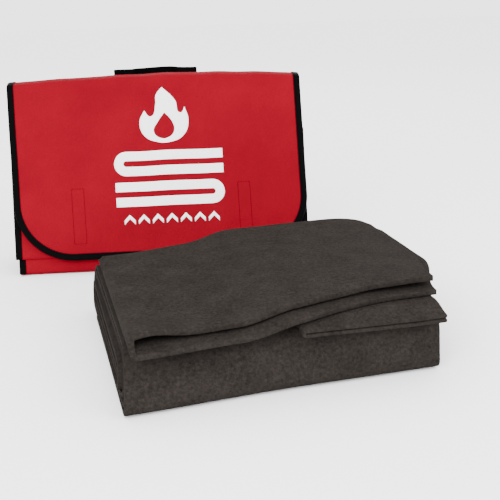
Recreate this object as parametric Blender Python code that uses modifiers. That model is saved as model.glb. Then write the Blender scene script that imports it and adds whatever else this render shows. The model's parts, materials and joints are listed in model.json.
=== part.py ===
"""Fire blanket kit: a red fabric carrying bag with a lift-up flap and the folded wool blanket beside it.

Metres, +Z up. The origin is the middle of the bag's base, on the surface that it stands on.
The bag's width runs along X, its front faces -Y, and the blanket lies on the same surface in front.
"""
import math

import bmesh
import bpy

# Bag: overall sizes
BAG_WIDTH = 0.508
BAG_HEIGHT = 0.324
BASE_DEPTH = 0.130
TOP_DEPTH = 0.028

# Bag: cloth, tape and fits
CLOTH = 0.0020
TAPE = 0.0008
TAPE_WIDTH = 0.0110
CLEARANCE = 0.0003
BASE_UPSTAND = 0.0340
BASE_INSET = 0.0050
SEAM_LAP = 0.0045
MOUTH_DROP = 0.1000

# Flap
FLAP_FOOT = 0.0280
FLAP_HINGE_RISE = 0.0010
FLAP_CORNER = 0.1000
FLAP_OVERHANG = 0.0010
CORNER_STEPS = 12

# Hook-and-loop strips
STRIP_WIDTH = 0.0255
STRIP_LENGTH = 0.1000
STRIP_THICKNESS = 0.0015
STRIP_SPACING = 0.2900
STRIP_START = 0.0500

# Handle
HANDLE_LENGTH = 0.1460
HANDLE_TAB = 0.0260
WEBBING_WIDTH = 0.0250
WEBBING = 0.0022
HANDLE_RISE = 0.0090
HANDLE_BULGE = 0.0130
HANDLE_BEND = 0.0200
BEND_STEPS = 8

# Blanket: place and overall sizes when folded
BLANKET_X = 0.1250
BLANKET_Y = -0.3730
BLANKET_YAW = math.radians(10.5)
BLANKET_WIDTH = 0.4170
BLANKET_DEPTH = 0.3500

# Blanket: rolled lower part and the leaves on it
ROLL_LAYERS = 12
LAYER_PITCH = 0.0068
LAYER_GAP = 0.0012
LOOSE_END_INSET = 0.0400
TURN_STEPS = 8
TURN_SQUARENESS = 1.2
SHORT_LEAF_WIDTH = 0.1910
SHORT_LEAF_BACK = 0.0250
SHORT_LEAF_THICKNESS = 0.0110
LONG_LEAF_THICKNESS = 0.0105
TOP_LEAF_THICKNESS = 0.0070
LEAF_BACK = 0.0060
LEAF_INSET = 0.0160
LEAF_RISE_RUN = 0.0800
LEAF_STEPS = 20
FOLD_STEPS = 6

# Points closer than this are one point
WELD_DISTANCE = 0.00001

# Colours: base colour, roughness
RED = ((0.46, 0.016, 0.024, 1.0), 0.70)
BLACK = ((0.010, 0.010, 0.011, 1.0), 0.60)
CHARCOAL = ((0.060, 0.052, 0.046, 1.0), 0.95)

# Derived sizes
LEAN = math.atan2(BASE_DEPTH - TOP_DEPTH, BAG_HEIGHT)
FRONT_Y = -BASE_DEPTH / 2
BACK_Y = BASE_DEPTH / 2
FACE_LENGTH = BAG_HEIGHT / math.cos(LEAN)
GUSSET_X = BAG_WIDTH / 2 - BASE_INSET - TAPE_WIDTH - 2 * CLEARANCE - CLOTH / 2
PANEL_START = BASE_UPSTAND - SEAM_LAP
MOUTH_AT = FACE_LENGTH - MOUTH_DROP
FLAP_OFFSET = 2 * STRIP_THICKNESS + 3 * CLEARANCE + CLOTH / 2
FLAP_LENGTH = FACE_LENGTH + FLAP_HINGE_RISE - FLAP_FOOT
ROOF_TOP = BAG_HEIGHT
ROOF_UNDER = BAG_HEIGHT - CLOTH
ROLL_HEIGHT = ROLL_LAYERS * LAYER_PITCH
LEAF_DEPTH = BLANKET_DEPTH - LEAF_BACK
SHORT_LEAF_DEPTH = BLANKET_DEPTH - SHORT_LEAF_BACK


def clear_scene():
    for obj in list(bpy.data.objects):
        bpy.data.objects.remove(obj, do_unlink=True)


def make_collection(name):
    group = bpy.data.collections.new(name)
    bpy.context.scene.collection.children.link(group)
    return group


def make_material(name, look):
    colour, roughness = look
    material = bpy.data.materials.new(name)
    material.use_nodes = True
    shader = material.node_tree.nodes["Principled BSDF"]
    shader.inputs["Base Color"].default_value = colour
    shader.inputs["Roughness"].default_value = roughness
    shader.inputs["Metallic"].default_value = 0.0
    return material


def place(obj, parent, location=(0.0, 0.0, 0.0), rotation=(0.0, 0.0, 0.0)):
    obj.parent = parent
    obj.location = location
    obj.rotation_euler = rotation
    return obj


def make_empty(group, name, location, rotation=(0.0, 0.0, 0.0), parent=None):
    empty = bpy.data.objects.new(name, None)
    empty.empty_display_size = 0.02
    group.objects.link(empty)
    return place(empty, parent, location, rotation)


def make_plate(group, name, outline, thickness, look):
    """A flat outline in its own XY plane, half its thickness to each side of the plane."""
    curve = bpy.data.curves.new(name, "CURVE")
    curve.dimensions = "2D"
    curve.fill_mode = "BOTH"
    curve.extrude = thickness / 2
    spline = curve.splines.new("POLY")
    spline.points.add(len(outline) - 1)
    for point, (x, y) in zip(spline.points, outline):
        point.co = (x, y, 0.0, 1.0)
    spline.use_cyclic_u = True
    obj = bpy.data.objects.new(name, curve)
    obj.data.materials.append(make_material(name, look))
    group.objects.link(obj)
    return obj


def make_mesh_plate(group, name, outline, thickness, look):
    """The same plate as a welded mesh, for a piece that is cut or cuts."""
    source = make_plate(group, name + "_outline", outline, thickness, look)
    bpy.context.view_layer.update()
    evaluated = source.evaluated_get(bpy.context.evaluated_depsgraph_get())
    mesh = bpy.data.meshes.new_from_object(evaluated)
    mesh.name = name
    work = bmesh.new()
    work.from_mesh(mesh)
    bmesh.ops.remove_doubles(work, verts=work.verts, dist=WELD_DISTANCE)
    bmesh.ops.recalc_face_normals(work, faces=work.faces)
    work.to_mesh(mesh)
    work.free()
    obj = bpy.data.objects.new(name, mesh)
    obj.matrix_world = source.matrix_world
    group.objects.link(obj)
    bpy.data.objects.remove(source, do_unlink=True)
    return obj


def make_strip(group, name, path, half_width, thickness, offset, look):
    """An open strip swept straight along its own Z from a path in its XY plane, then made solid."""
    work = bmesh.new()
    low = [work.verts.new((x, y, -half_width)) for x, y in path]
    high = [work.verts.new((x, y, half_width)) for x, y in path]
    for i in range(len(path) - 1):
        work.faces.new((low[i], low[i + 1], high[i + 1], high[i]))
    mesh = bpy.data.meshes.new(name)
    work.to_mesh(mesh)
    work.free()
    obj = bpy.data.objects.new(name, mesh)
    obj.data.materials.append(make_material(name, look))
    group.objects.link(obj)
    solid = obj.modifiers.new("Cloth", "SOLIDIFY")
    solid.thickness = thickness
    solid.offset = offset
    solid.use_even_offset = True
    return obj


def arc(centre_x, centre_y, radius, start, end, steps):
    points = []
    for i in range(steps + 1):
        angle = math.radians(start + (end - start) * i / steps)
        points.append((centre_x + radius * math.cos(angle), centre_y + radius * math.sin(angle)))
    return points


def rectangle(x_low, x_high, y_low, y_high):
    return [(x_low, y_low), (x_high, y_low), (x_high, y_high), (x_low, y_high)]


def channel(cloth_edge, inward, cloth_middle):
    """Section of a tape folded over a cloth edge: x across the edge, y through the cloth."""
    inner = CLOTH / 2 + CLEARANCE
    outer = inner + TAPE
    lip_in = cloth_edge - inward * CLEARANCE
    lip_out = lip_in - inward * TAPE
    deep = lip_out + inward * TAPE_WIDTH
    lip_pair = [(deep, cloth_middle + outer), (lip_out, cloth_middle + outer)]
    lip_pair += [(lip_out, cloth_middle - outer), (deep, cloth_middle - outer)]
    lip_pair += [(deep, cloth_middle - inner), (lip_in, cloth_middle - inner)]
    lip_pair += [(lip_in, cloth_middle + inner), (deep, cloth_middle + inner)]
    return lip_pair


def build_body_panels(group, face):
    """Front, back, sides, base and top of the bag."""
    half = BAG_WIDTH / 2
    front = make_plate(group, "front_panel", rectangle(-half, half, PANEL_START, MOUTH_AT), CLOTH, RED)
    place(front, face, (0.0, 0.0, -CLOTH / 2))

    back_top = ROOF_UNDER - CLEARANCE
    back = make_plate(group, "back_panel", rectangle(-half, half, PANEL_START, back_top), CLOTH, RED)
    place(back, None, (0.0, BACK_Y - CLOTH / 2, 0.0), (math.pi / 2, 0.0, 0.0))

    behind_panel = CLOTH + CLEARANCE
    behind_base = 2 * CLOTH + 2 * CLEARANCE
    side_outline = gusset_outline(behind_panel, behind_base)
    for side, label in ((-1, "left"), (1, "right")):
        gusset = make_plate(group, "gusset_" + label, side_outline, CLOTH, RED)
        place(gusset, None, (side * GUSSET_X, 0.0, 0.0), (math.pi / 2, 0.0, math.pi / 2))

    base = make_strip(group, "base_gusset", base_path(behind_panel), half - BASE_INSET, CLOTH, 1.0, RED)
    place(base, None, (0.0, 0.0, 0.0), (math.pi / 2, 0.0, math.pi / 2))

    behind_flap = FLAP_OFFSET - CLOTH / 2 - TAPE - 2 * CLEARANCE
    roof_front = face_at_height(ROOF_TOP, behind_flap) + CLEARANCE
    roof = make_plate(group, "top_gusset", rectangle(-half, half, roof_front, BACK_Y), CLOTH, RED)
    place(roof, None, (0.0, 0.0, ROOF_TOP - CLOTH / 2))


def face_point(along, out):
    """Y and Z of a point on the leaning front, by its distance up the face and out of it."""
    y = FRONT_Y + along * math.sin(LEAN) - out * math.cos(LEAN)
    z = along * math.cos(LEAN) + out * math.sin(LEAN)
    return y, z


def face_at_height(z, out):
    """Y of the leaning front's plane, moved out by a distance, at a height."""
    along = (z - out * math.sin(LEAN)) / math.cos(LEAN)
    return face_point(along, out)[0]


def gusset_outline(behind_panel, behind_base):
    """Side of the bag in Y and Z: narrow at the top, and let in behind the base gusset's upstands."""
    floor = CLOTH + CLEARANCE
    top = ROOF_UNDER - CLEARANCE
    step = BASE_UPSTAND + 2 * CLEARANCE
    front_step = step * math.cos(LEAN)
    outline = [(face_at_height(floor, -behind_base), floor)]
    outline.append((BACK_Y - behind_base, floor))
    outline.append((BACK_Y - behind_base, step))
    outline.append((BACK_Y - behind_panel, step))
    outline.append((BACK_Y - behind_panel, top))
    outline.append((face_at_height(top, -behind_panel), top))
    outline.append((face_at_height(front_step, -behind_panel), front_step))
    outline.append((face_at_height(front_step, -behind_base), front_step))
    return outline


def base_path(behind_panel):
    """Outer line of the base gusset in Y and Z, from the front upstand's top to the back one's."""
    front_top = face_point(BASE_UPSTAND, -behind_panel)
    front_foot = (face_at_height(0.0, -behind_panel), 0.0)
    back_foot = (BACK_Y - behind_panel, 0.0)
    back_top = (BACK_Y - behind_panel, BASE_UPSTAND)
    return [back_top, back_foot, front_foot, front_top]


def build_seam_tapes(group, face):
    """Tapes folded over the free edges of the panels."""
    half = BAG_WIDTH / 2
    across = (math.pi / 2, 0.0, 0.0)
    tape_start = BASE_UPSTAND + 2 * CLEARANCE
    panel_length = MOUTH_AT - 2 * CLEARANCE - tape_start
    panel_middle = tape_start + panel_length / 2
    back_length = ROOF_UNDER - CLEARANCE - tape_start
    back_middle = tape_start + back_length / 2
    foot_start = 2 * CLOTH + CLEARANCE
    upstand_length = PANEL_START - CLEARANCE - foot_start
    base_half = half - BASE_INSET
    base_middle = -CLOTH / 2 - CLOTH - CLEARANCE
    for side, label in ((-1, "left"), (1, "right")):
        section = channel(side * half, -side, -CLOTH / 2)
        front = make_plate(group, "front_binding_" + label, section, panel_length, BLACK)
        place(front, face, (0.0, panel_middle, 0.0), across)

        section = channel(side * half, -side, 0.0)
        back = make_plate(group, "back_binding_" + label, section, back_length, BLACK)
        place(back, None, (0.0, BACK_Y - CLOTH / 2, back_middle))

        section = channel(side * base_half, -side, base_middle)
        front_foot = make_plate(group, "base_front_binding_" + label, section, upstand_length, BLACK)
        place(front_foot, face, (0.0, foot_start + upstand_length / 2, 0.0), across)

        section = channel(side * base_half, -side, 0.0)
        back_foot = make_plate(group, "base_back_binding_" + label, section, upstand_length, BLACK)
        place(back_foot, None, (0.0, BACK_Y + base_middle, foot_start + upstand_length / 2))

    section = channel(MOUTH_AT, -1, -CLOTH / 2)
    mouth_length = 2 * (GUSSET_X - CLOTH / 2 - CLEARANCE)
    mouth = make_plate(group, "mouth_binding", section, mouth_length, BLACK)
    place(mouth, face, (0.0, 0.0, 0.0), (math.pi / 2, 0.0, math.pi / 2))


def flap_outline(grow, band=None):
    """Outline of the flap in its own plane, hinge edge at y = 0 and free edge at y = -length.

    With a band width, the outline is only the border of that width along the two sides and the foot.
    """
    half = BAG_WIDTH / 2 + FLAP_OVERHANG + grow
    length = FLAP_LENGTH + grow
    radius = FLAP_CORNER + grow
    outer = [(-half, 0.0)]
    outer += arc(-half + radius, -length + radius, radius, 180, 270, CORNER_STEPS)
    outer += arc(half - radius, -length + radius, radius, 270, 360, CORNER_STEPS)
    outer.append((half, 0.0))
    if band is None:
        return outer
    inner_radius = radius - band
    inner = [(half - band, 0.0)]
    inner += arc(half - radius, -length + radius, inner_radius, 360, 270, CORNER_STEPS)
    inner += arc(-half + radius, -length + radius, inner_radius, 270, 180, CORNER_STEPS)
    inner.append((-half + band, 0.0))
    return outer + inner


def build_flap(group, cutters, face):
    """Flap with its bound border, swinging about the front edge of the bag's top."""
    hinge_y, hinge_z = face_point(FACE_LENGTH + FLAP_HINGE_RISE, FLAP_OFFSET)
    hinge = make_empty(group, "flap_hinge", (0.0, hinge_y, hinge_z), (math.pi / 2 - LEAN, 0.0, 0.0))

    flap = make_plate(group, "flap_panel", flap_outline(0.0), CLOTH, RED)
    place(flap, hinge)

    lip = CLEARANCE + TAPE
    border = make_mesh_plate(group, "flap_binding", flap_outline(lip, TAPE_WIDTH), CLOTH + 2 * lip, BLACK)
    place(border, hinge)
    room = make_mesh_plate(cutters, "flap_room", flap_outline(CLEARANCE), CLOTH + 2 * CLEARANCE, RED)
    place(room, hinge)
    room.hide_render = True
    room.display_type = "WIRE"
    cut = border.modifiers.new("Room for the flap", "BOOLEAN")
    cut.operation = "DIFFERENCE"
    cut.solver = "EXACT"
    cut.object = room

    strip_low = STRIP_START - FACE_LENGTH - FLAP_HINGE_RISE
    behind = -CLOTH / 2 - CLEARANCE - STRIP_THICKNESS / 2
    for side, label in ((-1, "left"), (1, "right")):
        outline = strip_outline(side, strip_low)
        hook = make_plate(group, "flap_hook_" + label, outline, STRIP_THICKNESS, BLACK)
        place(hook, hinge, (0.0, 0.0, behind))
        outline = strip_outline(side, STRIP_START)
        loop = make_plate(group, "front_loop_" + label, outline, STRIP_THICKNESS, BLACK)
        place(loop, face, (0.0, 0.0, CLEARANCE + STRIP_THICKNESS / 2))


def strip_outline(side, low):
    middle = side * STRIP_SPACING / 2
    return rectangle(middle - STRIP_WIDTH / 2, middle + STRIP_WIDTH / 2, low, low + STRIP_LENGTH)


def build_handle(group):
    """Webbing handle behind the top edge: two sewn ends and the free grip that swings back."""
    low = ROOF_TOP + HANDLE_RISE - WEBBING_WIDTH
    middle_y = BACK_Y + CLEARANCE + WEBBING / 2
    half = HANDLE_LENGTH / 2
    for side, label in ((-1, "left"), (1, "right")):
        outer = side * half
        inner = side * (half - HANDLE_TAB)
        outline = rectangle(min(outer, inner), max(outer, inner), 0.0, WEBBING_WIDTH)
        tab = make_plate(group, "handle_end_" + label, outline, WEBBING, BLACK)
        place(tab, None, (0.0, middle_y, low), (math.pi / 2, 0.0, 0.0))

    swing = make_empty(group, "handle_swing", (0.0, middle_y, low))
    reach = half - HANDLE_TAB - CLEARANCE
    grip = make_strip(group, "handle_grip", grip_path(reach), WEBBING_WIDTH / 2, WEBBING, 0.0, BLACK)
    place(grip, swing, (0.0, 0.0, WEBBING_WIDTH / 2))


def grip_path(reach):
    """Plan of the grip: flush with the sewn ends, standing off the bag in the middle."""
    left = []
    for i in range(BEND_STEPS + 1):
        share = i / BEND_STEPS
        rise = HANDLE_BULGE * (1 - math.cos(math.pi * share)) / 2
        left.append((-reach + HANDLE_BEND * share, rise))
    right = [(-x, y) for x, y in reversed(left)]
    return left + right


def half_turn(centre_y, centre_z, radius, outermost, start, sign):
    """A half turn of the roll, squarer on the outer layers, where the cloth slumps under its weight."""
    power = 2.0 / (2.0 + TURN_SQUARENESS * (radius / outermost) ** 2)
    points = []
    for i in range(TURN_STEPS + 1):
        angle = math.pi * i / TURN_STEPS
        across = abs(math.sin(angle)) ** power
        along = math.copysign(abs(math.cos(angle)) ** power, math.cos(angle))
        points.append((centre_y + sign * radius * across, centre_z + start * radius * along))
    return points


def roll_path():
    """Middle line of the cloth through the rolled lower part, from its loose end to its heart."""
    outermost = (ROLL_HEIGHT - LAYER_PITCH) / 2
    cloth = LAYER_PITCH - LAYER_GAP
    front = outermost + cloth / 2
    back = BLANKET_DEPTH - outermost + LAYER_PITCH / 2 - cloth / 2
    path = [(BLANKET_DEPTH - LOOSE_END_INSET, LAYER_PITCH / 2)]
    wraps = ROLL_LAYERS // 2
    for wrap in range(wraps):
        radius = outermost - wrap * LAYER_PITCH
        path += half_turn(front, ROLL_HEIGHT / 2, radius, outermost, -1, -1)
        if wrap < wraps - 1:
            radius -= LAYER_PITCH / 2
            path += half_turn(back, (ROLL_HEIGHT + LAYER_PITCH) / 2, radius, outermost, 1, 1)
    path.append((back, path[-1][1]))
    return path


def thicken(path, thickness):
    """Closed outline around an open path, half the thickness to each side of it."""
    left = []
    right = []
    for i, (x, y) in enumerate(path):
        before = path[max(i - 1, 0)]
        after = path[min(i + 1, len(path) - 1)]
        dx = after[0] - before[0]
        dy = after[1] - before[1]
        size = math.hypot(dx, dy)
        left.append((x - dy / size * thickness / 2, y + dx / size * thickness / 2))
        right.append((x + dy / size * thickness / 2, y - dx / size * thickness / 2))
    return left + right[::-1]


def leaf_outline(start, end, low, thickness):
    """Side of a leaf in X and Z, lying on the roll and then climbing over the short leaf."""
    rise = SHORT_LEAF_THICKNESS + CLEARANCE
    climb_end = BLANKET_WIDTH - SHORT_LEAF_WIDTH - 2 * CLEARANCE
    climb_start = climb_end - LEAF_RISE_RUN
    middle = low + thickness / 2
    under = arc(start + thickness / 2, middle, thickness / 2, 180, 270, FOLD_STEPS)
    for i in range(LEAF_STEPS + 1):
        share = i / LEAF_STEPS
        height = rise * (1 - math.cos(math.pi * share)) / 2
        under.append((climb_start + LEAF_RISE_RUN * share, low + height))
    under.append((end, low + rise))
    over = [(x, z + thickness) for x, z in reversed(under[FOLD_STEPS:])]
    spine = arc(start + thickness / 2, middle, thickness / 2, 90, 180, FOLD_STEPS)
    return under + over + spine[1:-1]


def build_blanket(group):
    """The folded blanket: a rolled lower part and three leaves of the same cloth lying on it."""
    corner_x = -BLANKET_WIDTH / 2
    corner_y = -BLANKET_DEPTH / 2
    spread = make_empty(group, "blanket", (BLANKET_X, BLANKET_Y, 0.0), (0.0, 0.0, BLANKET_YAW))
    on_edge = (math.pi / 2, 0.0, math.pi / 2)

    roll = make_plate(group, "blanket_lower_roll", thicken(roll_path(), LAYER_PITCH - LAYER_GAP),
                      BLANKET_WIDTH, CHARCOAL)
    place(roll, spread, (0.0, corner_y, -LAYER_GAP / 2), on_edge)

    roll_top = ROLL_HEIGHT - LAYER_GAP
    short_low = roll_top + CLEARANCE
    outline = rectangle(-SHORT_LEAF_WIDTH, 0.0, 0.0, SHORT_LEAF_DEPTH)
    short = make_plate(group, "blanket_short_leaf", outline, SHORT_LEAF_THICKNESS, CHARCOAL)
    place(short, spread, (-corner_x, corner_y, short_low + SHORT_LEAF_THICKNESS / 2))

    upright = (math.pi / 2, 0.0, 0.0)
    leaf_y = corner_y + LEAF_DEPTH / 2
    outline = leaf_outline(LEAF_INSET, BLANKET_WIDTH, short_low, LONG_LEAF_THICKNESS)
    long_leaf = make_plate(group, "blanket_long_leaf", outline, LEAF_DEPTH, CHARCOAL)
    place(long_leaf, spread, (corner_x, leaf_y, 0.0), upright)

    fold_z = short_low + LONG_LEAF_THICKNESS + CLEARANCE
    fold = make_empty(group, "blanket_fold", (corner_x + LEAF_INSET, 0.0, fold_z), parent=spread)
    outline = leaf_outline(LEAF_INSET, BLANKET_WIDTH, fold_z, TOP_LEAF_THICKNESS)
    top_leaf = make_plate(group, "blanket_top_leaf", outline, LEAF_DEPTH, CHARCOAL)
    place(top_leaf, fold, (-LEAF_INSET, leaf_y, -fold_z), upright)


def main():
    clear_scene()
    group = make_collection("fire_blanket_kit")
    cutters = make_collection("cutters")
    face = make_empty(group, "front_face", (0.0, FRONT_Y, 0.0), (math.pi / 2 - LEAN, 0.0, 0.0))
    build_body_panels(group, face)
    build_seam_tapes(group, face)
    build_flap(group, cutters, face)
    build_handle(group)
    build_blanket(group)
    bpy.context.view_layer.update()


main()
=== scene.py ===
"""Fire blanket kit: fabric bag, bound flap, webbing handle and folded wool blanket around its frame."""

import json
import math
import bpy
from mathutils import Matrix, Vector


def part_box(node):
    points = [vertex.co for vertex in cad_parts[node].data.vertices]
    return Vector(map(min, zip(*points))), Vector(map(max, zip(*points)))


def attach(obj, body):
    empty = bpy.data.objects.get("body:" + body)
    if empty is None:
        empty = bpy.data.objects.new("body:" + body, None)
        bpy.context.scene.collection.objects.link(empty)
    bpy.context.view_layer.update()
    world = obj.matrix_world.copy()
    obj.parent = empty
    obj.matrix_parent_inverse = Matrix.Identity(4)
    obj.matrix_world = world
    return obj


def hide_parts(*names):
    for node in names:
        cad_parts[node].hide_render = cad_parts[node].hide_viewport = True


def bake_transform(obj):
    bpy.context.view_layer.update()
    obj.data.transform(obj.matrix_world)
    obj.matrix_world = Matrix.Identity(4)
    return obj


bl_info = {
    "name": "Fire Blanket Kit",
    "version": (1, 0, 0),
    "blender": (4, 5, 0),
    "location": "3D View > Sidebar > Fire Kit",
    "description": "Builds the fabric bag and the folded blanket of a fire blanket kit",
    "category": "Object",
}

import bmesh
import bpy
from mathutils import Matrix, Vector, noise

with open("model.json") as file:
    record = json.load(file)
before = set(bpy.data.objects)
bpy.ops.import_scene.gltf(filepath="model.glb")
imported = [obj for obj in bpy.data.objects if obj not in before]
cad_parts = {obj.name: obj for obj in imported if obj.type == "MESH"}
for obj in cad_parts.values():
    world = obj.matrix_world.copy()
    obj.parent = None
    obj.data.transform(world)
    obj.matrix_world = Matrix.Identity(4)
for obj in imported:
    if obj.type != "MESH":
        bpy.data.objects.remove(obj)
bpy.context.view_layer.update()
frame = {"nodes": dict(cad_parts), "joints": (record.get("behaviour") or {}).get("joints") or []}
JOINTS = {joint["name"]: joint for joint in frame["joints"]}

# Cloth as it is made up in the frame
TAPE_WIDTH = 0.0110
TAPE_THICKNESS = 0.0008
TAPE_STEP = 0.0040
TAPE_COLUMNS = 14
SEW_GAP = 0.0003
TAPE_ROW = TAPE_WIDTH - 0.0032
THREAD_OFF_TAPE = 0.0001
THREAD_OFF_CLOTH = 0.00005
THREAD_STEP = 0.001
FLAP_CORNER = 0.1000

# Stitches: length, pitch and half thickness
TAPE_STITCH = (0.0026, 0.0040, 0.00034)
STRIP_STITCH = (0.0030, 0.0036, 0.00055)
HANDLE_STITCH = (0.0022, 0.0030, 0.00034)

SIDES = ((-1, "left"), (1, "right"))

# How near a point is the same point, how near it lies in a seam, and how sharp an edge is a rim
SAME_POINT = 0.00001
AT_SEAM = 0.0001
RIM_ANGLE = math.radians(60)


def facing(node, direction):
    """Normal of a node's largest face that looks in a direction, and a point on it."""
    mesh = frame["nodes"][node].data
    aim = Vector(direction)
    best = max((f for f in mesh.polygons if f.normal.dot(aim) > 0.7), key=lambda f: f.area)
    return best.normal.copy(), mesh.vertices[best.vertices[0]].co.copy()


def turned_box(node, yaw):
    """Lowest and highest corner of a node in axes turned by an angle about Z."""
    turn = Matrix.Rotation(-yaw, 3, "Z")
    points = [turn @ v.co for v in frame["nodes"][node].data.vertices]
    low = Vector([min(p[i] for p in points) for i in range(3)])
    high = Vector([max(p[i] for p in points) for i in range(3)])
    return low, high


# The bag's frame: leaning front, upright back, flat top
FRONT_NORMAL, FRONT_POINT = facing("front_panel", (0.0, -1.0, 0.0))
LEAN = math.atan2(FRONT_NORMAL.z, -FRONT_NORMAL.y)
FRONT_Y = FRONT_POINT.y - FRONT_POINT.z * math.tan(LEAN)
BACK_LOW, BACK_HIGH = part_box("back_panel")
BACK_Y = BACK_HIGH.y
CLOTH = BACK_HIGH.y - BACK_LOW.y
HALF_WIDTH = BACK_HIGH.x
ROOF_LOW, ROOF_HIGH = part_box("top_gusset")
ROOF_TOP = ROOF_HIGH.z
FLAP_PIVOT = Vector(JOINTS["flap_lift"]["pos_m"])
FLAP_OUT = (FLAP_PIVOT.z - (FLAP_PIVOT.y - FRONT_Y) / math.tan(LEAN)) * math.sin(LEAN)
PIVOT_ALONG = (FLAP_PIVOT.z - FLAP_OUT * math.sin(LEAN)) / math.cos(LEAN)
FLAP_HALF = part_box("flap_panel")[1].x

# The blanket's own axes
FOLD_AXIS = JOINTS["blanket_unfold"]["axis"]
BLANKET_YAW = math.atan2(FOLD_AXIS[0], -FOLD_AXIS[1])
ROLL_LOW, ROLL_HIGH = turned_box("blanket_lower_roll", BLANKET_YAW)
SHORT_LOW, SHORT_HIGH = turned_box("blanket_short_leaf", BLANKET_YAW)
LONG_LOW, LONG_HIGH = turned_box("blanket_long_leaf", BLANKET_YAW)
TOP_HIGH = turned_box("blanket_top_leaf", BLANKET_YAW)[1]
BLANKET_TURN = Matrix.Rotation(BLANKET_YAW, 3, "Z")


def smooth(x):
    """Eased step from 0 at x = 0 to 1 at x = 1."""
    x = max(0.0, min(1.0, x))
    return x * x * (3.0 - 2.0 * x)


def ripple(x, y, scale, seed):
    """Smooth unhurried noise between about -1 and 1."""
    return 2.0 * noise.noise(Vector((x * scale + seed, y * scale - seed, seed * 1.7)))


def on_front(u, along, out):
    """Point on the leaning front: across, up the face from its foot, and out of it."""
    y = FRONT_Y + along * math.sin(LEAN) - out * math.cos(LEAN)
    return Vector((u, y, along * math.cos(LEAN) + out * math.sin(LEAN)))


# ---------------------------------------------------------------- materials


class Socket:
    """A shader value that takes part in Python expressions."""

    def __init__(self, shader, link):
        self.shader = shader
        self.link = link

    def maths(self, operation, *values):
        inputs = {i: value for i, value in enumerate(values)}
        return self.shader.add("ShaderNodeMath", {"operation": operation}, inputs)

    def __add__(self, other):
        return self.maths("ADD", self, other)

    def __radd__(self, other):
        return self.maths("ADD", other, self)

    def __sub__(self, other):
        return self.maths("SUBTRACT", self, other)

    def __rsub__(self, other):
        return self.maths("SUBTRACT", other, self)

    def __mul__(self, other):
        return self.maths("MULTIPLY", self, other)

    def __rmul__(self, other):
        return self.maths("MULTIPLY", other, self)

    def sine(self):
        return self.maths("SINE", self)

    def absolute(self):
        return self.maths("ABSOLUTE", self)

    def above(self, other):
        return self.maths("MAXIMUM", self, other)

    def below(self, other):
        return self.maths("MINIMUM", self, other)


class Shader:
    """One material's node tree."""

    def __init__(self, name):
        self.material = bpy.data.materials.new(name)
        self.material.use_nodes = True
        self.tree = self.material.node_tree
        self.surface = self.tree.nodes["Principled BSDF"]

    def add(self, kind, settings=None, inputs=None, output=0):
        node = self.tree.nodes.new(kind)
        for name, value in (settings or {}).items():
            setattr(node, name, value)
        for name, value in (inputs or {}).items():
            self.plug(node.inputs[name], value)
        return Socket(self, node.outputs[output])

    def plug(self, socket, value):
        if isinstance(value, Socket):
            self.tree.links.new(value.link, socket)
        else:
            socket.default_value = value

    def set(self, name, value):
        self.plug(self.surface.inputs[name], value)

    def axes(self, vector):
        return [self.add("ShaderNodeSeparateXYZ", None, {0: vector}, i) for i in range(3)]

    def speckle(self, vector, scale, detail=2.0, roughness=0.5, distortion=0.0):
        inputs = {"Vector": vector, "Scale": scale, "Detail": detail}
        inputs.update({"Roughness": roughness, "Distortion": distortion})
        return self.add("ShaderNodeTexNoise", {"noise_dimensions": "3D"}, inputs)

    def blend(self, factor, first, second):
        inputs = {0: factor, 6: first, 7: second}
        return self.add("ShaderNodeMix", {"data_type": "RGBA"}, inputs, 2)

    def relief(self, height, depth):
        bump = self.add("ShaderNodeBump", None, {"Height": height, "Distance": depth, "Strength": 1.0})
        self.set("Normal", bump)


def place_in_piece(shader):
    return shader.add("ShaderNodeTexCoord", None, None, 3)


def place_on_cloth(shader):
    return shader.add("ShaderNodeUVMap", {"uv_map": "cloth"})


def shade_of(colour, factor):
    return (*(min(1.0, channel * factor) for channel in colour[:3]), 1.0)


def woven(name, colour, pitch, relief, roughness, contrast=0.16):
    """Plain weave: crossing threads of one pitch, uneven in colour and height."""
    shader = Shader(name)
    where = place_on_cloth(shader)
    across, along, _ = shader.axes(where)
    step = math.pi / pitch
    warp = (across * step).sine().absolute()
    weft = (along * step).sine().absolute()
    turn = ((across * step * 0.5).sine() * (along * step * 0.5).sine()) * 0.5 + 0.5
    threads = warp * turn + weft * (1.0 - turn)
    slubs = shader.speckle(where, 900.0, 2.0)
    cloudy = shader.speckle(place_in_piece(shader), 9.0, 3.0, 0.6)
    tone = (threads * 0.5 + slubs * 0.5) * contrast + cloudy * 0.50 + (1.0 - contrast / 2.0 - 0.25)
    dark = shade_of(colour, 0.0)
    light = shade_of(colour, 1.25)
    shader.set("Base Color", shader.blend(tone * 0.8, dark, light))
    shader.set("Roughness", (1.0 - threads) * 0.12 + (roughness - 0.06))
    crumple = shader.speckle(place_in_piece(shader), 17.0, 4.0, 0.55, 0.6)
    shader.relief(threads * relief + slubs * (relief * 0.4) + crumple * 0.0034, 1.0)
    shader.set("Specular IOR Level", 0.03)
    return shader.material


def ribbed(name, colour, rib, relief, roughness):
    """Tape or webbing: ribs along its length crossed by fine picks."""
    shader = Shader(name)
    where = place_on_cloth(shader)
    across, along, _ = shader.axes(where)
    ribs = (across * (math.pi / rib)).sine().absolute()
    picks = (along * (math.pi / (rib * 0.55))).sine().absolute()
    fibres = shader.speckle(where, 1500.0, 2.0)
    height = ribs * 0.6 + picks * 0.4
    tone = height * 0.45 + fibres * 0.35 + 0.35
    shader.set("Base Color", shader.blend(tone, shade_of(colour, 0.3), shade_of(colour, 1.5)))
    shader.set("Roughness", fibres * 0.2 + (roughness - 0.1))
    shader.relief(height + fibres * 0.3, relief)
    shader.set("Specular IOR Level", 0.02)
    return shader.material


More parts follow.
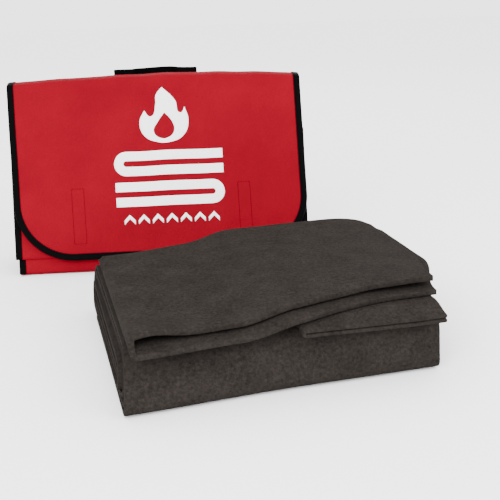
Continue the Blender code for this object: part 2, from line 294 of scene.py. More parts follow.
def pile(name, colour, relief):
    """Hook or loop pile."""
    shader = Shader(name)
    where = place_in_piece(shader)
    hooks = shader.add("ShaderNodeTexVoronoi", {"feature": "F1"}, {"Vector": where, "Scale": 700.0})
    fuzz = shader.speckle(where, 1200.0, 3.0)
    tone = (1.0 - hooks) * 0.6 + fuzz * 0.4
    shader.set("Base Color", shader.blend(tone, shade_of(colour, 0.3), shade_of(colour, 2.0)))
    shader.set("Roughness", fuzz * 0.2 + 0.7)
    shader.relief((1.0 - hooks) + fuzz, relief)
    shader.set("Specular IOR Level", 0.03)
    return shader.material


def felted(name, colour, mottle):
    """Coarse reclaimed wool: soft clouds, short pale and dark fibres, and a fuzzy nap."""
    shader = Shader(name)
    where = place_in_piece(shader)
    clouds = shader.speckle(where, 26.0, 3.0, 0.6)
    tufts = shader.speckle(where, 250.0, 3.0, 0.6, 0.4)
    stretched = shader.add("ShaderNodeMapping", None, {"Vector": where, "Scale": (1.0, 0.28, 1.0)})
    fibres = shader.speckle(stretched, 1100.0, 2.0, 0.7, 0.8)
    crossed = shader.add("ShaderNodeMapping", None, {"Vector": where, "Scale": (0.3, 1.0, 1.0)})
    strays = shader.speckle(crossed, 900.0, 2.0, 0.7, 1.2)
    tone = (clouds - 0.5) * 0.6 + (tufts - 0.5) * 1.3 + (fibres - 0.5) * 0.6 + (strays - 0.5) * 0.5
    level = (tone * mottle + 0.5).above(0.0).below(1.0)
    shader.set("Base Color", shader.blend(level, shade_of(colour, 0.32), shade_of(colour, 1.75)))
    shader.set("Roughness", tufts * 0.1 + 0.88)
    shader.relief(tufts * 0.6 + fibres * 0.25 + strays * 0.25, 0.0011)
    shader.set("Sheen Weight", 0.004)
    shader.set("Sheen Roughness", 0.7)
    shader.set("Sheen Tint", (0.62, 0.60, 0.58, 1.0))
    shader.set("Specular IOR Level", 0.01)
    return shader.material


def printed(name, colour):
    """Heat-pressed print: matt, faintly cracked over the weave."""
    shader = Shader(name)
    where = place_in_piece(shader)
    wear = shader.speckle(where, 240.0, 4.0, 0.7)
    grain = shader.speckle(where, 1400.0, 2.0)
    tone = (wear - 0.35).above(0.0).below(0.1) * 10.0
    shader.set("Base Color", shader.blend(tone, shade_of(colour, 0.9), shade_of(colour, 1.0)))
    shader.set("Roughness", grain * 0.2 + 0.45)
    shader.relief(grain, 0.0001)
    return shader.material


def floor_finish(name, colour):
    """Matt paint, hardly uneven."""
    shader = Shader(name)
    mist = shader.speckle(place_in_piece(shader), 2.0, 2.0)
    shader.set("Base Color", shader.blend(mist, shade_of(colour, 0.985), shade_of(colour, 1.0)))
    shader.set("Roughness", mist * 0.05 + 0.9)
    shader.set("Specular IOR Level", 0.1)
    return shader.material


# ---------------------------------------------------------------- cloth and tape


def link(name, work, material):
    """Makes a bmesh an object of the scene."""
    mesh = bpy.data.meshes.new(name)
    work.to_mesh(mesh)
    work.free()
    mesh.materials.append(material)
    obj = bpy.data.objects.new(name, mesh)
    bpy.context.scene.collection.objects.link(obj)
    return obj


def finish_mesh(obj):
    """Applies the piece's modifiers and shades it."""
    bpy.context.view_layer.update()
    evaluated = obj.evaluated_get(bpy.context.evaluated_depsgraph_get())
    mesh = bpy.data.meshes.new_from_object(evaluated)
    mesh.name = obj.name
    obj.modifiers.clear()
    obj.data = mesh
    mesh.shade_smooth()
    return obj


def round_rim(obj, radius, seam):
    """Rounds a thick cloth's rim, leaving the edges that lie in a seam."""
    work = bmesh.new()
    work.from_mesh(obj.data)
    sharp = []
    for rim in work.edges:
        if not rim.is_manifold or rim.calc_face_angle() < RIM_ANGLE:
            continue
        if not (seam and all(seam(v.co) for v in rim.verts)):
            sharp.append(rim)
    bmesh.ops.bevel(work, geom=sharp, offset=radius, offset_type="OFFSET", segments=2, profile=0.5,
                    affect="EDGES", material=-1, clamp_overlap=True)
    for rim in work.edges:
        if seam and rim.is_manifold and rim.calc_face_angle() > RIM_ANGLE:
            rim.smooth = not all(seam(v.co) for v in rim.verts)
    work.to_mesh(obj.data)
    work.free()


def sheet_of(name, size, place, material, thickness, columns, rows, edge=None, seam=None):
    """A cloth grid, each point put in place from its distances across and along the flat cut."""
    width, length = size
    work = bmesh.new()
    bmesh.ops.create_grid(work, x_segments=columns, y_segments=rows, size=0.5)
    layer = work.loops.layers.uv.new("cloth")
    flat = {}
    for vert in work.verts:
        across = (vert.co.x + 0.5) * width
        along = (vert.co.y + 0.5) * length
        flat[vert] = (across, along)
        vert.co = place(across, along)
    for face in work.faces:
        for loop in face.loops:
            loop[layer].uv = flat[loop.vert]
    obj = link(name, work, material)
    body = obj.modifiers.new("Thickness", "SOLIDIFY")
    body.thickness = thickness
    body.offset = 0.0
    body.use_even_offset = True
    finish_mesh(obj)
    if edge:
        round_rim(obj, edge, seam)
    return obj


def tape_over(name, length, edge):
    """Tape folded over a cloth edge.

    edge(s, inset, height) gives a point by the distance along the edge, the distance in from it
    and the height off the cloth's middle.
    """
    half = CLOTH / 2 + SEW_GAP + TAPE_THICKNESS / 2
    proud = SEW_GAP + TAPE_THICKNESS / 2
    flat_run = TAPE_WIDTH - half
    curl = math.pi * half
    total = 2 * flat_run + curl

    def place(across, along):
        if across < flat_run:
            return edge(along, TAPE_WIDTH - across - proud, half)
        if across > flat_run + curl:
            return edge(along, half + (across - flat_run - curl) - proud, -half)
        angle = (across - flat_run) / half
        return edge(along, half - half * math.sin(angle) - proud, half * math.cos(angle))

    rows = max(4, round(length / TAPE_STEP))
    return sheet_of(name, (total, length), place, black_tape(), TAPE_THICKNESS, TAPE_COLUMNS, rows)


def cut_of(size, place, columns=32, rows=120):
    """Widest and longest run of a cloth's middle surface, laid flat, and the surface's area."""
    width, length = size
    lines = []
    for j in range(rows + 1):
        along = length * j / rows
        lines.append([Vector(place(width * i / columns, along)) for i in range(columns + 1)])
    widest = max(sum((b - a).length for a, b in zip(line, line[1:])) for line in lines)
    longest = max(sum((b - a).length for a, b in zip(line, line[1:])) for line in zip(*lines))
    area = 0.0
    for low, high in zip(lines, lines[1:]):
        for i in range(columns):
            area += (low[i + 1] - low[i]).cross(high[i] - low[i]).length / 2
            area += (high[i + 1] - high[i]).cross(high[i + 1] - low[i + 1]).length / 2
    return (widest, longest), area


def square_to(forward, up):
    """The part of a direction that stands square to another."""
    return (up - forward * up.dot(forward)).normalized()


def stitches(name, runs, material, length, pitch, girth):
    """Thread stitches: each run gives a point and a direction by the distance along it."""
    work = bmesh.new()
    for run_length, run in runs:
        count = max(1, int(run_length / pitch))
        for i in range(count):
            point, forward, up = run((i + 0.5) * run_length / count)
            side = up.cross(forward).normalized()
            frame_of = Matrix((forward, side, up)).transposed().to_4x4()
            size = Matrix.Diagonal((length / 2, girth, girth * 0.75, 1.0))
            bmesh.ops.create_icosphere(work, subdivisions=1, radius=1.0,
                                       matrix=Matrix.Translation(point) @ frame_of @ size)
    obj = link(name, work, material)
    obj.data.shade_smooth()
    return obj


# ---------------------------------------------------------------- the bag's soft shape


def top_sag(u):
    """How far the bag's limp top edge stands above or below its frame, across the width."""
    share = (u + HALF_WIDTH) / (2 * HALF_WIDTH)
    kit = bpy.context.scene.fire_bag
    hump = math.sin(math.pi * min(1.0, max(0.0, share)) ** 1.15) ** 0.8
    return kit.top_bow * (hump - 0.94) + 0.0006 * ripple(u, 0.0, 22.0, 3.1)


def flap_wave(u, along):
    """How far the flap stands proud of its plane, never less than nothing."""
    kit = bpy.context.scene.fire_bag
    down = (PIVOT_ALONG - along) / PIVOT_ALONG
    broad = 0.5 + 0.5 * ripple(u, along, 6.5, 5.3)
    long_fold = math.exp(-((u + 0.09 - 0.5 * (along - 0.17)) / 0.05) ** 2)
    free = smooth(down * 3.0)
    lift = smooth((abs(u) - FLAP_HALF + 0.05) / 0.05) * smooth((down - 0.75) / 0.2)
    return kit.flap_wave * free * (0.75 * broad + 0.35 * long_fold) + 0.002 * lift


FILLET = 0.0070
BACK_SEAM = BACK_Y - 0.0008
ROOF_MIDDLE = ROOF_TOP - CLOTH / 2
ROOF_RUN = BACK_SEAM - (FLAP_PIVOT.y - (FLAP_PIVOT.z - ROOF_MIDDLE) * math.tan(LEAN))
TURN = math.pi / 2 - LEAN
TANGENT = FILLET * math.tan(TURN / 2)
FLAP_DROP = 0.0030
FLAP_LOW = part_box("flap_panel")[0].z - (FLAP_OUT - CLOTH / 2) * math.sin(LEAN)
FLAP_FOOT = FLAP_LOW / math.cos(LEAN) - FLAP_DROP
CORNER_ALONG = (ROOF_MIDDLE - FLAP_OUT * math.sin(LEAN)) / math.cos(LEAN)
FLAT_A = ROOF_RUN - TANGENT
ARC = FILLET * TURN
FACE_RUN = FLAT_A + ARC + CORNER_ALONG - TANGENT
COVER_LENGTH = FACE_RUN - FLAP_FOOT
COVER_SHARE = 0.992
COVER_SHIFT = -0.0020
ROOF_CROWN = 0.0015

# Share of the cover's rows that lie above its round corners
PLAIN_ROWS = 0.62


def cover_point(u, run, height=0.0):
    """Point on the bag's top and flap: across, along the cloth from the back seam, off its middle."""
    down = max(0.0, run - FLAT_A - ARC) / PIVOT_ALONG
    u = u * COVER_SHARE + COVER_SHIFT + bpy.context.scene.fire_bag.flap_askew * down
    if run < FLAT_A:
        rise = ROOF_CROWN * math.sin(math.pi * run / FLAT_A)
        point = Vector((u, BACK_SEAM - run, ROOF_MIDDLE + height + rise))
        weight = 1.0
    elif run < FLAT_A + ARC:
        angle = (run - FLAT_A) / FILLET
        reach = FILLET + height
        y = BACK_SEAM - FLAT_A - reach * math.sin(angle)
        z = ROOF_MIDDLE - FILLET + reach * math.cos(angle)
        point = Vector((u, y, z))
        weight = 1.0
    else:
        along = CORNER_ALONG - TANGENT - (run - FLAT_A - ARC)
        out = FLAP_OUT + flap_wave(u, along) + height
        point = on_front(u, along, out)
        weight = smooth(along / PIVOT_ALONG)
    point.z += top_sag(u) * weight
    return point


def cover_half_width(run):
    """Half the width of the cover at a run: it narrows only round the flap's lower corners."""
    left = COVER_LENGTH - run
    if left >= FLAP_CORNER:
        return FLAP_HALF
    rest = FLAP_CORNER - left
    return FLAP_HALF - FLAP_CORNER + math.sqrt(max(0.0, FLAP_CORNER ** 2 - rest ** 2))


def cover_edge_length():
    return 2 * (COVER_LENGTH - FLAP_CORNER) + math.pi * FLAP_CORNER + 2 * (FLAP_HALF - FLAP_CORNER)


def cover_outline(s):
    """Outline of the cover from the back seam's left end, by distance: across, run, inward."""
    side = COVER_LENGTH - FLAP_CORNER
    bend = math.pi / 2 * FLAP_CORNER
    foot = 2 * (FLAP_HALF - FLAP_CORNER)
    if s < side:
        return -FLAP_HALF, s, (1.0, 0.0)
    s -= side
    if s < bend:
        a = s / FLAP_CORNER
        u = -FLAP_HALF + FLAP_CORNER - FLAP_CORNER * math.cos(a)
        return u, side + FLAP_CORNER * math.sin(a), (math.cos(a), -math.sin(a))
    s -= bend
    if s < foot:
        return -FLAP_HALF + FLAP_CORNER + s, COVER_LENGTH, (0.0, -1.0)
    s -= foot
    if s < bend:
        a = s / FLAP_CORNER
        u = FLAP_HALF - FLAP_CORNER + FLAP_CORNER * math.sin(a)
        return u, side + FLAP_CORNER * math.cos(a), (-math.sin(a), -math.cos(a))
    s -= bend
    return FLAP_HALF, side - s, (-1.0, 0.0)


def cover_edge(s, inset, height):
    u, run, inward = cover_outline(s)
    return cover_point(u + inward[0] * inset, run + inward[1] * inset, height)


def on_flap(u, along, height):
    """Point on the flap by its distance up the bag's face."""
    return cover_point(u, FACE_RUN - along, height)


def bend_over_hinge(obj):
    """Bakes the place of a piece that runs from the bag's top into the flap into its mesh."""
    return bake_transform(obj)


# ---------------------------------------------------------------- the bag's other cloths

STRIP_LOW, STRIP_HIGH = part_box("front_loop_right")
STRIP_MIDDLE = (STRIP_LOW.x + STRIP_HIGH.x) / 2
STRIP_WIDTH = STRIP_HIGH.x - STRIP_LOW.x
STRIP_THICKNESS = 0.0015
STRIP_RIM = 0.0004
STRIP_MARGIN = 0.0022
HANDLE_BEND = 0.020
HANDLE_CURL = 0.0012
HANDLE_RIM = 0.0006
HANDLE_MARGIN = 0.003
PANEL_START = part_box("front_panel")[0].z / math.cos(LEAN) + CLOTH * math.tan(LEAN)
MOUTH_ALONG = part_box("front_panel")[1].z / math.cos(LEAN)
STRIP_START = STRIP_LOW.z / math.cos(LEAN)
STRIP_LENGTH = (STRIP_HIGH.z - STRIP_LOW.z) / math.cos(LEAN)
GUSSET_X = (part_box("gusset_right")[0].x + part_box("gusset_right")[1].x) / 2
BASE_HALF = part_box("base_gusset")[1].x
BASE_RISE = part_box("base_gusset")[1].z
BACK_TOP = BACK_HIGH.z
BEHIND = CLOTH + SEW_GAP
FOLD_RADIUS = 0.0060

# Steps of the base cloth's line: up each end, round each fold and over the floor
UPSTAND_STEPS = 5
BEND_STEPS = 8
FLOOR_STEPS = 12


def front_slack(u, along):
    """The front cloth sinks a little into the bag between its sewn edges."""
    share = (along - PANEL_START) / (MOUTH_ALONG - PANEL_START)
    held = math.sin(math.pi * max(0.0, min(1.0, share))) * (1.0 - (u / HALF_WIDTH) ** 4)
    return -0.0025 * max(0.0, held) * (0.6 + 0.4 * ripple(u, along, 8.0, 1.4))


def back_slack(u, z):
    """The back cloth sinks in likewise."""
    held = math.sin(math.pi * max(0.0, min(1.0, z / BACK_TOP))) * (1.0 - (u / HALF_WIDTH) ** 4)
    return -0.0040 * max(0.0, held) * (0.6 + 0.4 * ripple(u, z, 6.0, 8.2))


def front_point(u, along, height=0.0):
    return on_front(u, along, height - CLOTH / 2 + front_slack(u, along))


def back_point(u, z, height=0.0):
    lifted = z + top_sag(u) * smooth(z / BACK_TOP) * 0.9
    return Vector((u, BACK_Y - CLOTH / 2 + back_slack(u, z) + height, lifted))


def gusset_point(side, share, z):
    """Side of the bag: folded inwards along its middle."""
    kit = bpy.context.scene.fire_bag
    front = FRONT_Y + z * math.tan(LEAN) + 2 * BEHIND / math.cos(LEAN)
    back = BACK_Y - 2 * BEHIND
    crease = 1.0 - abs(2.0 * share - 1.0) ** 1.5
    fade = smooth(z / 0.05) * (1.0 - 0.5 * smooth((z - 0.22) / 0.1))
    wrinkle = 0.0018 * ripple(share, z * 6.0, 3.0, 4.4) * crease
    x = side * (GUSSET_X - kit.side_tuck * crease * fade + wrinkle)
    sunk = (min(0.0, top_sag(x)) - 0.0015) * smooth(z / ROOF_TOP)
    return Vector((x, front + (back - front) * share, z + sunk))


def base_path():
    """Line of the base cloth in Y and Z: back upstand, floor, front upstand, with soft folds."""
    back = BACK_Y - BEHIND - CLOTH / 2
    floor = CLOTH / 2
    turn = math.pi / 2 + LEAN
    setback = FOLD_RADIUS * math.tan(turn / 2)
    inset = (BEHIND + CLOTH / 2) / math.cos(LEAN)
    corner = FRONT_Y + floor * math.tan(LEAN) + inset
    drop = BASE_RISE - floor - FOLD_RADIUS
    points = [(back, BASE_RISE - i * drop / UPSTAND_STEPS) for i in range(UPSTAND_STEPS)]
    for i in range(BEND_STEPS + 1):
        angle = math.pi / 2 * i / BEND_STEPS
        y = back - FOLD_RADIUS * (1 - math.cos(angle))
        points.append((y, floor + FOLD_RADIUS * (1 - math.sin(angle))))
    rest = back - FOLD_RADIUS - (corner + setback)
    points += [(back - FOLD_RADIUS - rest * i / FLOOR_STEPS, floor) for i in range(1, FLOOR_STEPS)]
    for i in range(BEND_STEPS + 1):
        angle = turn * i / BEND_STEPS
        y = corner + setback - FOLD_RADIUS * math.sin(angle)
        points.append((y, floor + FOLD_RADIUS * (1 - math.cos(angle))))
    foot_y, foot_z = points[-1]
    climb = (BASE_RISE - foot_z) / math.cos(LEAN)
    for i in range(1, UPSTAND_STEPS + 1):
        step = climb * i / UPSTAND_STEPS
        points.append((foot_y + step * math.sin(LEAN), foot_z + step * math.cos(LEAN)))
    return points


class Route:
    """An open line of points in a plane, read by the share of its points that are passed."""

    def __init__(self, points):
        self.points = [Vector(p) for p in points]
        self.rows = len(self.points) - 1
        self.length = sum((b - a).length for a, b in zip(self.points, self.points[1:]))

    def at_share(self, share):
        place = max(0.0, min(float(self.rows), share * self.rows))
        i = min(self.rows - 1, int(place))
        return self.points[i].lerp(self.points[i + 1], place - i)


# ---------------------------------------------------------------- the blanket's folds

ROLL_LAYERS = 12
LAYER_GAP = 0.0012
WOOL_COLUMNS = 56
ROLL_RIM = 0.0016
ROLL_WIDTH = ROLL_HIGH.x - ROLL_LOW.x
ROLL_DEPTH = ROLL_HIGH.y - ROLL_LOW.y
LAYER_PITCH = (ROLL_HIGH.z + LAYER_GAP) / ROLL_LAYERS
DOUBLED_WOOL = LAYER_PITCH - LAYER_GAP
LOOSE_END_INSET = 0.040
LEAF_START = LONG_LOW.x - ROLL_LOW.x
LEAF_BACK_EDGE = LONG_HIGH.y - ROLL_LOW.y
SHORT_START = SHORT_LOW.x - ROLL_LOW.x
LEAF_RISE = SHORT_HIGH.z - SHORT_LOW.z
CLIMB_RUN = 0.080
SHORT_WOOL = 0.0049
SHORT_OVERHANG = 0.022
SHORT_RIM = 0.0014
SHORT_COLUMNS = 44
LEAF_WOOL = 0.0074
LEAF_SEAM = 0.060
LEAF_RIM = 0.0033
LEAF_OVERREACH = 0.004
LOWER_LEAF_ROWS = 46
LEAF_CORNER = 0.060

# Spacing of points along the roll and along the leaves, and steps round a leaf's spine
ROLL_STEP = 0.012
LEAF_STEP = 0.008
SPINE_STEPS = 12
OPENING_HALF = 0.0010
STACK_TOP = TOP_HIGH.z
FOLD_TOP = STACK_TOP - LEAF_RISE - SEW_GAP


def in_blanket(x, y, z):
    """Point by the blanket's own axes, from its near left corner on the floor, its layers settled."""
    kit = bpy.context.scene.fire_wool
    share = max(0.0, z) / STACK_TOP
    # Layers only ever stand up from their fold line, so that the upper leaf turns back as one
    loose = smooth((x - LEAF_SEAM) / 0.090)
    unevenness = 0.5 + 0.33 * ripple(x, y, 6.0, 2.2) + 0.15 * ripple(x, y, 17.0, 6.1)
    dip = kit.slump * share * loose * max(0.0, unevenness)
    sway = kit.slump * 0.9 * ripple(x, z * 2.0, 6.5, 9.4) * min(1.0, share * 4.0)
    spread = -kit.foot_spread * (1.0 - smooth(y / 0.060)) * (1.0 - smooth(z / ROLL_HIGH.z))
    spread *= 1.0 + 1.1 * (1.0 - smooth(x / 0.25))
    settled = z + dip * smooth(z / 0.03)
    return BLANKET_TURN @ Vector((ROLL_LOW.x + x, ROLL_LOW.y + y + sway + spread, settled))


def half_turn(centre_y, centre_z, radius, outermost, start, sign):
    """One end of the roll: a half turn, squarer below than above and rounder towards its heart."""
    steps = 8 + int(16 * radius / outermost)
    points = []
    for i in range(steps + 1):
        angle = math.pi * i / steps
        underneath = start * math.cos(angle) < 0.0
        square = (4.5 if underneath else 1.2) * (radius / outermost) ** 2
        power = 2.0 / (2.0 + square)
        across = abs(math.sin(angle)) ** power
        along = math.copysign(abs(math.cos(angle)) ** power, math.cos(angle))
        points.append((centre_y + sign * radius * across, centre_z + start * radius * along))
    return points


def straight(points, end):
    """Carries a line on to a point in even steps."""
    first = Vector(points[-1])
    last = Vector(end)
    count = max(1, round((last - first).length / ROLL_STEP))
    return points + [tuple(first.lerp(last, i / count)) for i in range(1, count)]


def roll_route():
    """Middle line of the doubled cloth through the roll, from its loose end to its heart."""
    outermost = (ROLL_LAYERS * LAYER_PITCH - LAYER_PITCH) / 2
    middle = ROLL_LAYERS * LAYER_PITCH / 2
    front = outermost + DOUBLED_WOOL / 2
    back = ROLL_DEPTH - outermost + LAYER_PITCH / 2 - DOUBLED_WOOL / 2
    points = [(ROLL_DEPTH - LOOSE_END_INSET, LAYER_PITCH / 2)]
    wraps = ROLL_LAYERS // 2
    for wrap in range(wraps):
        radius = outermost - wrap * LAYER_PITCH
        turn = half_turn(front, middle, radius, outermost, -1, -1)
        points = straight(points, turn[0]) + turn
        if wrap < wraps - 1:
            radius -= LAYER_PITCH / 2
            turn = half_turn(back, middle + LAYER_PITCH / 2, radius, outermost, 1, 1)
            points = straight(points, turn[0]) + turn
    end = (back, points[-1][1])
    points = straight(points, end) + [end]
    return Route([(y, z - LAYER_GAP / 2 + SEW_GAP) for y, z in points])


def climb(x):
    """How far the leaves rise where they run up over the short fold."""
    share = (x - (SHORT_START - CLIMB_RUN)) / CLIMB_RUN
    return (LEAF_RISE + SEW_GAP) * (1 - math.cos(math.pi * max(0.0, min(1.0, share)))) / 2


def fold_route(start, end, low, high, thickness, rise):
    """A hairpin of cloth seen from the front: lower run, spine at the left, upper run."""
    radius = (high - low) / 2
    centre = start + radius + thickness / 2
    count = max(4, round((end - centre) / LEAF_STEP))
    runs = [centre + (end - centre) * i / count for i in range(count + 1)]
    points = [(x, low + rise(x)) for x in reversed(runs)]
    for i in range(1, SPINE_STEPS):
        angle = math.pi * i / SPINE_STEPS
        x = centre - radius * math.sin(angle)
        points.append((x, (low + high) / 2 - radius * math.cos(angle)))
    points += [(x, high + rise(x)) for x in runs]
    return Route(points)


def far_corner(x, right, back):
    """Back edge of a leaf whose far right corner is rounded off."""
    over = max(0.0, x - (right - LEAF_CORNER)) / LEAF_CORNER
    return back - LEAF_CORNER * 0.85 * (1.0 - math.sqrt(max(0.0, 1.0 - min(1.0, over) ** 2)))


def long_front(x):
    """Front edge of the lower leaf."""
    return -0.026 + 0.046 * smooth((x - 0.16) / 0.22)


def top_front(x):
    """Front edge of the upper leaf."""
    return -0.010 + 0.040 * smooth((x - 0.15) / 0.20)


def left_back(x):
    """How far the upper leaf's back edge is drawn in at the left."""
    return 0.034 * (1.0 - smooth((x - 0.02) / 0.24))


# ---------------------------------------------------------------- the print

PRINT_MIDDLE = 0.012
FLAME_ALONG = 0.2690
FLAME_SCALE = 0.92
FOLDS_ALONG = 0.160
CHEVRONS_ALONG = 0.090
PRINT_CELL = 0.008
PRINT_OFFSET = 0.004
PRINT_OFF_CLOTH = 0.0001
FOLD_SIZE = (0.190, 0.042)
FOLD_SLIT = 0.010
FOLD_GAP = 0.011
ARROWS = 7
ARROW_PITCH = 0.0245
ARROW_SIZE = (0.019, 0.017)
ARROW_STROKE = 0.0072

FLAME = [(0.000, 0.052), (0.024, 0.026), (0.032, 0.003), (0.041, 0.014), (0.047, -0.012),
         (0.036, -0.040), (0.010, -0.052), (-0.014, -0.051), (-0.038, -0.038), (-0.046, -0.012),
         (-0.036, 0.010), (-0.024, -0.002), (-0.014, 0.020), (-0.012, 0.038)]
FLAME_TIPS = (0, 3, 10)
HEART = [(0.002, 0.004), (0.016, -0.014), (0.019, -0.030), (0.008, -0.043), (-0.010, -0.043),
         (-0.020, -0.030), (-0.012, -0.014)]
HEART_TIPS = (0,)


def soft_outline(points, tips, scale=1.0):
    """Bezier outline, smooth everywhere but at its tips."""
    return [((x * scale, y * scale), i in tips) for i, (x, y) in enumerate(points)]


def hairpin_outline(width, height, slit, side):
    """A folded layer seen edge on: a bar closed at one end, with a slit open at the other."""
    outer = height / 2
    inner = slit / 2
    points = []
    for i in range(13):
        angle = math.pi / 2 + math.pi * i / 12
        points.append((-width / 2 + outer + outer * math.cos(angle), outer * math.sin(angle)))
    points += [(width / 2, -outer), (width / 2, -inner)]
    for i in range(9):
        angle = -math.pi / 2 - math.pi * i / 8
        points.append((-width / 2 + outer + inner * math.cos(angle), inner * math.sin(angle)))
    points += [(width / 2, inner), (width / 2, outer)]
    return [((side * x, y), True) for x, y in points]


def chevron_outline(width, height, stroke):
    """An arrowhead's outline, pointing up the flap."""
    points = [(-width / 2, -height / 2), (0.0, height / 2 - stroke), (width / 2, -height / 2)]
    points += [(width / 2, -height / 2 + stroke), (0.0, height / 2), (-width / 2, -height / 2 + stroke)]
    return [(point, True) for point in points]


def flat_print(outlines, across, along):
    """Flat filled shape as a bmesh, in distances across the flap and up it."""
    curve = bpy.data.curves.new("outline", "CURVE")
    curve.dimensions = "2D"
    curve.fill_mode = "BOTH"
    curve.resolution_u = 10
    for outline in outlines:
        spline = curve.splines.new("BEZIER")
        spline.bezier_points.add(len(outline) - 1)
        spline.use_cyclic_u = True
        for knot, ((x, y), sharp) in zip(spline.bezier_points, outline):
            knot.co = (x + across, y + along, 0.0)
            knot.handle_left_type = "VECTOR" if sharp else "AUTO"
            knot.handle_right_type = "VECTOR" if sharp else "AUTO"
    holder = bpy.data.objects.new("outline", curve)
    bpy.context.scene.collection.objects.link(holder)
    bpy.context.view_layer.update()
    mesh = bpy.data.meshes.new_from_object(holder.evaluated_get(bpy.context.evaluated_depsgraph_get()))
    work = bmesh.new()
    work.from_mesh(mesh)
    bmesh.ops.remove_doubles(work, verts=work.verts, dist=SAME_POINT)
    bpy.data.objects.remove(holder, do_unlink=True)
    bpy.data.curves.remove(curve)
    bpy.data.meshes.remove(mesh)
    return work


def cut_in_cells(work, cell):
    """Cuts a flat shape along even lines so that it can follow a curved cloth."""
    for axis in (0, 1):
        low = min(v.co[axis] for v in work.verts)
        high = max(v.co[axis] for v in work.verts)
        for i in range(1, math.ceil((high - low) / cell)):
            at = Vector((0.0, 0.0, 0.0))
            at[axis] = low + i * cell
            normal = Vector((0.0, 0.0, 0.0))
            normal[axis] = 1.0
            everything = work.verts[:] + work.edges[:] + work.faces[:]
            bmesh.ops.bisect_plane(work, geom=everything, plane_co=at, plane_no=normal)


# ---------------------------------------------------------------- settings


class BagSettings(bpy.types.PropertyGroup):
    cloth_colour: bpy.props.FloatVectorProperty(
        name="Cloth", description="Colour of the coated nylon", subtype="COLOR",
        size=3, min=0.0, max=1.0, default=(0.140, 0.0002, 0.0058))
    tape_colour: bpy.props.FloatVectorProperty(
        name="Tape", description="Colour of the binding tape and webbing", subtype="COLOR",
        size=3, min=0.0, max=1.0, default=(0.0005, 0.0005, 0.0006))
    weave_pitch: bpy.props.FloatProperty(
        name="Weave Pitch", description="Distance between threads of the nylon",
        default=0.0009, unit="LENGTH", precision=5)
    flap_wave: bpy.props.FloatProperty(
        name="Flap Wave", description="How far the flap's cloth undulates",
        default=0.0040, unit="LENGTH")
    flap_askew: bpy.props.FloatProperty(
        name="Flap Askew", description="How far the flap's foot hangs to one side",
        default=0.0055, unit="LENGTH")
    top_bow: bpy.props.FloatProperty(
        name="Top Bow", description="How far the top edge bows up between its corners",
        default=0.0080, unit="LENGTH")
    side_tuck: bpy.props.FloatProperty(
        name="Side Tuck", description="How far the side gussets fold inwards",
        default=0.0160, unit="LENGTH")


class PrintSettings(bpy.types.PropertyGroup):
    colour: bpy.props.FloatVectorProperty(
        name="Print", description="Colour of the printed symbols", subtype="COLOR",
        size=3, min=0.0, max=1.0, default=(0.86, 0.85, 0.84))
    thickness: bpy.props.FloatProperty(
        name="Thickness", description="Thickness of the print film", default=0.00025,
        unit="LENGTH", precision=5)


class BlanketSettings(bpy.types.PropertyGroup):
    colour: bpy.props.FloatVectorProperty(
        name="Wool", description="Average colour of the wool", subtype="COLOR",
        size=3, min=0.0, max=1.0, default=(0.0140, 0.0118, 0.0104))
    mottle: bpy.props.FloatProperty(
        name="Mottle", description="Contrast between the pale and dark fibres",
        default=0.95, min=0.0, max=3.0)
    slump: bpy.props.FloatProperty(
        name="Slump", description="How unevenly the folded layers lie",
        default=0.0035, unit="LENGTH")
    foot_spread: bpy.props.FloatProperty(
        name="Foot Spread", description="How far the roll's front slumps forward on the floor",
        default=0.0110, unit="LENGTH")


# Lamps of the stage: place, aim, width across and power
LAMPS = {
    "key_light": ((-1.0, -2.6, 1.7), (0.05, -0.1, 0.1), 1.8, 110.0),
    "fill_light": ((1.9, -1.6, 1.2), (0.05, -0.1, 0.1), 1.8, 40.0),
    "rim_light": ((0.3, 1.9, 1.9), (0.05, 0.0, 0.15), 1.4, 12.0),
}
SKY_STRENGTH = 3.0
FLOOR_HALF = 6.0
FLOOR_HEIGHT = -0.0006


class StageSettings(bpy.types.PropertyGroup):
    floor_colour: bpy.props.FloatVectorProperty(
        name="Floor", description="Colour of the studio floor", subtype="COLOR",
        size=3, min=0.0, max=1.0, default=(0.97, 0.97, 0.97))
    camera_place: bpy.props.FloatVectorProperty(
        name="Camera", description="Where the camera stands", subtype="TRANSLATION",
        size=3, unit="LENGTH", default=(0.0511, -1.5568, 0.5147))
    camera_pitch: bpy.props.FloatProperty(
        name="Pitch", description="How far the camera looks down", subtype="ANGLE",
        default=math.radians(18.0))
    camera_yaw: bpy.props.FloatProperty(
        name="Yaw", description="How far the camera is turned to the right", subtype="ANGLE",
        default=math.radians(3.8))
    camera_roll: bpy.props.FloatProperty(
        name="Roll", description="How far the camera is tipped to its left", subtype="ANGLE",
        default=math.radians(1.6))
    lens: bpy.props.FloatProperty(name="Lens", description="Focal length in millimetres", default=64.8)


SETTINGS = {
    "fire_bag": BagSettings,
    "fire_print": PrintSettings,
    "fire_wool": BlanketSettings,
    "fire_stage": StageSettings,
}


def made_once(name, make, *looks):
    """A material by its name, made the first time it is asked for."""
    return bpy.data.materials.get(name) or make(name, *looks)


def nylon():
    kit = bpy.context.scene.fire_bag
    return made_once("red_nylon", woven, tuple(kit.cloth_colour), kit.weave_pitch, 0.00010, 0.70)


def black_tape():
    return made_once("black_binding_tape", ribbed, tuple(bpy.context.scene.fire_bag.tape_colour),
                     0.0008, 0.00012, 0.6)


def black_thread():
    return made_once("black_thread", pile, tuple(bpy.context.scene.fire_bag.tape_colour), 0.00004)


def red_thread():
    colour = shade_of(tuple(bpy.context.scene.fire_bag.cloth_colour), 0.35)[:3]
    return made_once("red_thread", pile, colour, 0.00004)


def pile_strip():
    return made_once("black_pile", pile, tuple(bpy.context.scene.fire_bag.tape_colour), 0.0006)


